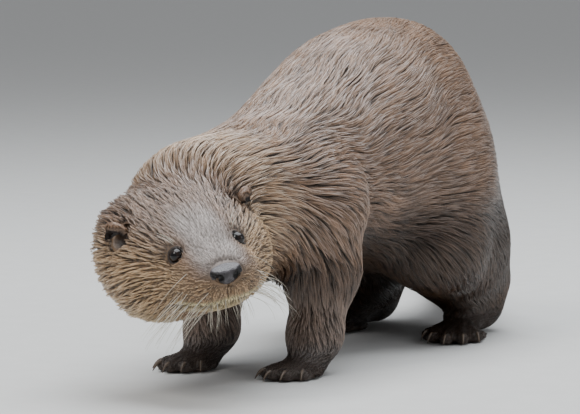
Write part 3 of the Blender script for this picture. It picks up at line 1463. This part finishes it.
def coat_material():
    """Wet locks: dark at the roots and edges, lighter and glossy along the ridge."""
    shade = Shade("wet_coat")
    along, across, mood, own = shade.channels("lock")
    wet = shade.attribute("wet")
    hairs = shade.noise(shade.vector(across * 5 + own * 40, along * 0.9, mood * 30), 1.6, detail=2)
    strand = shade.between(hairs, 0.32, 0.68)
    ridge = 1 - (across * 2 - 1).math("ABSOLUTE")
    level = shade.between(along, 0.0, 0.7, 0.35, 1.12) * (ridge * 0.62 + 0.58)
    level = level * (own * 0.40 + 0.80) * (mood * 0.44 + 0.78) * (strand * 0.24 + 0.88)
    level = 1 + (level - 1) * (wet * 0.75 + 0.5)
    color = shade.mix(1.0, marked_color(shade), shade.vector(level, level, level), "MULTIPLY")
    height = shade.channel_of(shade.place(), "Z")
    sky = shade.between(height, 0.07, 0.20, 0.22, 0.72)
    tips = shade.between(along, 0.35, 0.9) * ridge * shade.between(own, 0.25, 0.75)
    tips = tips * (wet * 0.85 + 0.15) * sky
    _, _, dark, tan = shade.channels("marks")
    color = shade.mix(tips * (1 - dark * 0.75), color, GLINT)
    warm = shade.between(along, 0.3, 0.85) * ridge * shade.between(own, 0.3, 0.8) * tan * 0.6
    color = shade.mix(warm, color, WARM_TIP)
    normal = shade.bump(hairs, 0.0004, 0.6)
    return shade.finish(color, strand * 0.12 + 0.26, normal, {"Specular IOR Level": 0.7})


def skin_material():
    """Skin under the coat: the coat's own colours, darker round the eyes and in the ears."""
    shade = Shade("skin")
    place = shade.turned(shade.place(), rotation=tuple(math.radians(-v) for v in (0, 0, HEAD_YAW)))
    streaks = shade.noise(shade.turned(place, scale=(1800, 420, 1500)), 1, detail=3)
    fine = shade.noise(shade.place(), 900, detail=2)
    color = shade.mix(shade.attribute("wet") * 0.35 + 0.2, marked_color(shade), BARE_SKIN)
    for side in (1, -1):
        away = shade.measure("DISTANCE", to_model(from_head(eye_frame(side)[0])))
        color = shade.mix(shade.between(away, *LID_EDGES), color, LID_SKIN)
    bright = shade.between(streaks, 0.35, 0.7) * (1 - shade.channels("marks")[2]) * 0.35
    color = shade.mix(bright, color, tone(120, 104, 92))
    normal = shade.bump(streaks * 0.7 + fine * 0.3, 0.0006, 0.8)
    return shade.finish(color, fine * 0.2 + 0.42, normal)


def nose_material():
    """Pebbled dark skin, paler on top and black inside the nostrils."""
    shade = Shade("nose_skin")
    pebble = shade.cells(shade.place(), 1150, feature="SMOOTH_F1")
    large = shade.noise(shade.place(), 260, detail=3)
    up = tuple(HEAD_TURN @ (0, -0.4, 0.9))
    rise = shade.measure("DOT_PRODUCT", up)
    level = float(np.dot(to_model(from_head(NOSE_PAD + (0, -4, 3))), up))
    color = shade.mix(shade.between(large, 0.3, 0.75), tone(40, 36, 39), tone(78, 74, 78))
    color = shade.mix(shade.between(rise, level - 0.0005, level + 0.0022) * 0.8, color, tone(122, 120, 124))
    color = shade.mix(shade.attribute("inside"), color, tone(12, 10, 11))
    normal = shade.bump(pebble, 0.0006, 0.7, shade.bump(large, 0.0008, 0.5))
    return shade.finish(color, large * 0.25 + 0.24, normal)


def ear_material():
    shade = Shade("ear_skin")
    fine = shade.noise(shade.place(), 700, detail=3)
    color = shade.mix(fine, tone(92, 72, 58), tone(128, 106, 88))
    color = shade.mix(shade.attribute("inside"), color, tone(30, 21, 18))
    return shade.finish(color, fine * 0.2 + 0.5, shade.bump(fine, 0.0005, 0.7))


def eye_material(side):
    """Dark glass: a brown iris round a black pupil, under a wet gloss."""
    shade = Shade("eye_left" if side > 0 else "eye_right")
    middle, look = eye_frame(side)
    pupil = to_model(from_head(middle + look * EYE_RADIUS))
    away = shade.measure("DISTANCE", pupil)
    iris = shade.between(away, *IRIS_INNER) * shade.between(away, *IRIS_OUTER)
    rays = shade.noise(shade.place(), 1600, detail=3)
    color = shade.mix(iris * (rays * 0.6 + 0.4), tone(7, 5, 5), tone(34, 21, 14))
    return shade.finish(color, rays * 0.02 + 0.04, constants={"Specular IOR Level": 0.4})


def claw_material():
    shade = Shade("claw_horn")
    grain = shade.noise(shade.turned(shade.place(), scale=(900, 160, 900)), 1, detail=3)
    color = shade.mix(grain, tone(66, 54, 46), tone(122, 106, 90))
    return shade.finish(color, grain * 0.2 + 0.3, shade.bump(grain, 0.0003, 0.5))


def whisker_material():
    shade = Shade("whisker")
    stain = shade.noise(shade.place(), 120, detail=1)
    color = shade.mix(stain, tone(226, 220, 206), tone(178, 168, 150))
    return shade.finish(color, stain * 0.2 + 0.3)


def paint(thing, material):
    thing.data.materials.clear()
    thing.data.materials.append(material)


# ---------- stage ----------

IMAGE_WIDTH = 580
CAMERA_AZIMUTH, CAMERA_HEIGHT_ANGLE = 27, 5
CAMERA_DISTANCE = 2600
CAMERA_TARGET = (16.16, 21.0, 129.96)
FOCAL_PIXELS = 3250
SENSOR = 36
LIT_POINT = (0.05, 0, 0.12)  # what the lights face, metres
SKY_COLOR, SKY_STRENGTH = (0.95, 0.97, 1.0, 1), 0.42
FLOOR_SIZE, FLOOR_TONES = 30, ((0.60, 0.60, 0.59), (0.66, 0.66, 0.65))
# name, place in metres, power, size, colour
LIGHTS = (
    ("overhead", (0.1, 0.2, 2.3), 88, 2.2, (0.93, 0.97, 1.0)),
    ("key", (-0.4, -1.9, 1.9), 26, 0.9, (1.0, 0.98, 0.95)),
    ("side", (2.2, 0.2, 1.0), 10, 1.2, (0.95, 0.97, 1.0)),
)


def add_camera():
    azimuth, rise = math.radians(CAMERA_AZIMUTH), math.radians(CAMERA_HEIGHT_ANGLE)
    level = math.cos(rise)
    back = Vector((math.sin(azimuth) * level, -math.cos(azimuth) * level, math.sin(rise)))
    data = bpy.data.cameras.new("camera")
    data.sensor_width = SENSOR
    data.lens = FOCAL_PIXELS / IMAGE_WIDTH * SENSOR
    data.clip_end = 50
    camera = new_object("camera", data)
    camera.location = Vector(to_model(CAMERA_TARGET)) + back * CAMERA_DISTANCE * MM
    camera.rotation_euler = back.to_track_quat("Z", "Y").to_euler()
    bpy.context.scene.camera = camera


def add_light(name, place, power, size, color):
    """A soft square light that faces the animal."""
    data = bpy.data.lights.new(name, "AREA")
    data.energy, data.size, data.color = power, size, color
    light = new_object(name, data)
    light.location = place
    light.rotation_euler = (Vector(place) - Vector(LIT_POINT)).to_track_quat("Z", "Y").to_euler()


def add_stage():
    """A pale floor, a plain sky and three soft lights."""
    bpy.ops.object.select_all(action="DESELECT")
    bpy.ops.mesh.primitive_plane_add(size=FLOOR_SIZE, location=(0, 0, 0))
    floor = bpy.context.active_object
    floor.name = "floor"
    shade = Shade("floor_paint")
    speckle = shade.noise(shade.place(), 40, detail=3)
    shade.finish(color=shade.mix(speckle, *FLOOR_TONES), roughness=0.9)
    floor.data.materials.append(shade.material)
    world = bpy.data.worlds.new("studio")
    bpy.context.scene.world = world
    world.use_nodes = True
    sky = world.node_tree.nodes["Background"]
    sky.inputs["Color"].default_value = SKY_COLOR
    sky.inputs["Strength"].default_value = SKY_STRENGTH
    for light in LIGHTS:
        add_light(*light)


# ---------- the whole model ----------

skin = make_skin()
mark_skin(skin)
nose = make_nose()
ears = make_ears()
eyes = make_eyes()
coats = make_coat(skin)
for ear, (side, name) in zip(ears, SIDES):
    coats.append(make_ear_coat(ear, side, name))
paint(skin, skin_material())
paint(nose, nose_material())
ear_skin = ear_material()
for ear in ears:
    paint(ear, ear_skin)
for eye, side in eyes:
    paint(eye, eye_material(side))
wet_coat = coat_material()
for coat in coats:
    paint(coat, wet_coat)
horn = claw_material()
for claw in make_claws():
    paint(claw, horn)
paint(make_whiskers(), whisker_material())
add_camera()
add_stage()
